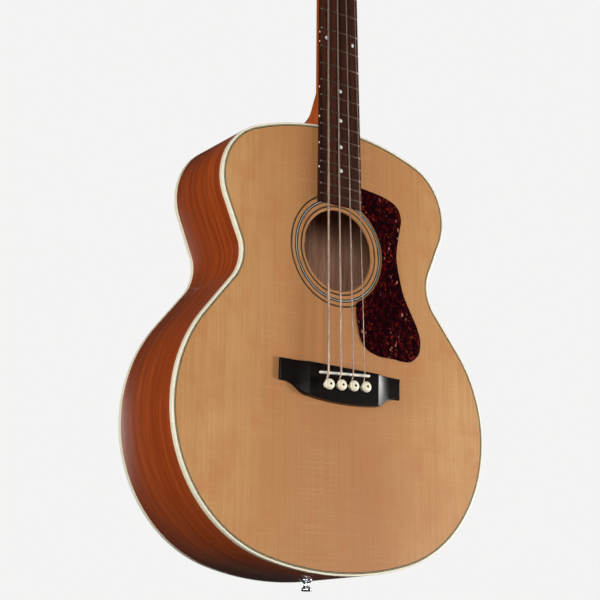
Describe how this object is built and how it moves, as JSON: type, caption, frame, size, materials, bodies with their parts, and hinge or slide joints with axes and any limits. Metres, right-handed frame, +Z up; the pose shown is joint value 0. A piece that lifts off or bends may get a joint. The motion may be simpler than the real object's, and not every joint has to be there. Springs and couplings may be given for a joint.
{
  "type": "acoustic bass guitar",
  "caption": "Flat-top acoustic bass guitar: hollow jumbo body with soundhole and pickguard, pin bridge, long fretted neck, strings and open worm-gear tuning machines.",
  "frame": {"origin": "where a wall hanger's fork carries the headstock: on the centre line 12 mm above the back of the nut, at half the neck's depth there", "axes": "+Z up the neck to the headstock, -Y out of the soundboard's face, +X to the treble side"},
  "size_m": [0.426, 0.1458, 1.1836],
  "materials": {
    "spruce": "gloss lacquer over amber spruce, fine straight grain",
    "mahogany": "gloss lacquer over red-brown mahogany",
    "inner_wood": "bare wood",
    "rosewood": "oiled, open-pored",
    "ebony": "satin black",
    "ivoroid": "polished cream",
    "black_line": "black and white laminated line, lacquered",
    "tortoise": "dark red tortoiseshell pattern, polished",
    "bone": "bone-like, satin",
    "bronze": "wound bronze wire",
    "chrome": "bright plating",
    "steel": "plain steel"
  },
  "bodies": {
    "instrument": {"soundboard": "spruce", "back": "mahogany", "side_bass": "mahogany", "side_treble": "mahogany", "neck": "mahogany", "neck_block": "inner_wood", "tail_block": "inner_wood", "x_brace_bass": "inner_wood", "x_brace_treble": "inner_wood", "tone_bar_upper": "inner_wood", "tone_bar_lower": "inner_wood", "upper_transverse_brace": "inner_wood", "top_lining_bass": "inner_wood", "top_lining_treble": "inner_wood", "back_lining_bass": "inner_wood", "back_lining_treble": "inner_wood", "fingerboard": "rosewood", "headstock_veneer": "rosewood", "bridge_plate": "rosewood", "bridge": "ebony", "truss_rod_cover": "ebony", "top_binding": "ivoroid", "back_binding": "ivoroid", "heel_cap": "ivoroid", "top_purfling": "black_line", "rosette_inner": "black_line", "rosette_middle": "black_line", "rosette_outer": "black_line", "pickguard": "tortoise", "saddle": "bone", "nut": "bone", "string_1": "bronze", "tuner_plate_1": "chrome", "tuner_bushing_1": "chrome", "string_2": "bronze", "tuner_plate_2": "chrome", "tuner_bushing_2": "chrome", "string_3": "bronze", "tuner_plate_3": "chrome", "tuner_bushing_3": "chrome", "string_4": "bronze", "tuner_plate_4": "chrome", "tuner_bushing_4": "chrome", "end_pin": "chrome", "strap_button": "chrome", "truss_rod": "steel"},
    "bridge_pin_1": {"bridge_pin_1": "ivoroid"},
    "bridge_pin_2": {"bridge_pin_2": "ivoroid"},
    "bridge_pin_3": {"bridge_pin_3": "ivoroid"},
    "bridge_pin_4": {"bridge_pin_4": "ivoroid"},
    "tuner_key_1": {"tuner_key_1": "chrome"},
    "tuner_post_1": {"tuner_post_1": "chrome"},
    "tuner_key_2": {"tuner_key_2": "chrome"},
    "tuner_post_2": {"tuner_post_2": "chrome"},
    "tuner_key_3": {"tuner_key_3": "chrome"},
    "tuner_post_3": {"tuner_post_3": "chrome"},
    "tuner_key_4": {"tuner_key_4": "chrome"},
    "tuner_post_4": {"tuner_post_4": "chrome"},
    "truss_rod_nut": {"truss_rod_nut": "steel"}
  },
  "joints": [
    {"name": "bridge_pin_1_pull", "type": "slide", "parent": "instrument", "child": "bridge_pin_1", "axis": [0, -1, 0], "range_m": [0, 0.03]},
    {"name": "bridge_pin_2_pull", "type": "slide", "parent": "instrument", "child": "bridge_pin_2", "axis": [0, -1, 0], "range_m": [0, 0.03]},
    {"name": "bridge_pin_3_pull", "type": "slide", "parent": "instrument", "child": "bridge_pin_3", "axis": [0, -1, 0], "range_m": [0, 0.03]},
    {"name": "bridge_pin_4_pull", "type": "slide", "parent": "instrument", "child": "bridge_pin_4", "axis": [0, -1, 0], "range_m": [0, 0.03]},
    {"name": "tuner_key_1_turn", "type": "hinge", "parent": "instrument", "child": "tuner_key_1", "pos_m": [-0.024, 0.02746, 0.04927], "axis": [1, 0, 0], "continuous": true},
    {"name": "tuner_post_1_turn", "type": "hinge", "parent": "instrument", "child": "tuner_post_1", "pos_m": [-0.024, 0.01832, 0.03846], "axis": [0, 0.9756, -0.2195], "continuous": true},
    {"name": "tuner_key_2_turn", "type": "hinge", "parent": "instrument", "child": "tuner_key_2", "pos_m": [-0.024, 0.04107, 0.10976], "axis": [1, 0, 0], "continuous": true},
    {"name": "tuner_post_2_turn", "type": "hinge", "parent": "instrument", "child": "tuner_post_2", "pos_m": [-0.024, 0.03192, 0.09895], "axis": [0, 0.9756, -0.2195], "continuous": true},
    {"name": "tuner_key_3_turn", "type": "hinge", "parent": "instrument", "child": "tuner_key_3", "pos_m": [0.024, 0.04107, 0.10976], "axis": [1, 0, 0], "continuous": true},
    {"name": "tuner_post_3_turn", "type": "hinge", "parent": "instrument", "child": "tuner_post_3", "pos_m": [0.024, 0.03192, 0.09895], "axis": [0, 0.9756, -0.2195], "continuous": true},
    {"name": "tuner_key_4_turn", "type": "hinge", "parent": "instrument", "child": "tuner_key_4", "pos_m": [0.024, 0.02746, 0.04927], "axis": [1, 0, 0], "continuous": true},
    {"name": "tuner_post_4_turn", "type": "hinge", "parent": "instrument", "child": "tuner_post_4", "pos_m": [0.024, 0.01832, 0.03846], "axis": [0, 0.9756, -0.2195], "continuous": true},
    {"name": "truss_rod_nut_turn", "type": "hinge", "parent": "instrument", "child": "truss_rod_nut", "pos_m": [0, -0.00309, -0.00296], "axis": [0, 0.0119, 0.9999], "range_deg": [-180, 180]}
  ],
  "couplings": [
    {"joint": "tuner_post_1_turn", "follows": "tuner_key_1_turn", "ratio": 0.05},
    {"joint": "tuner_post_2_turn", "follows": "tuner_key_2_turn", "ratio": 0.05},
    {"joint": "tuner_post_3_turn", "follows": "tuner_key_3_turn", "ratio": -0.05},
    {"joint": "tuner_post_4_turn", "follows": "tuner_key_4_turn", "ratio": -0.05}
  ]
}
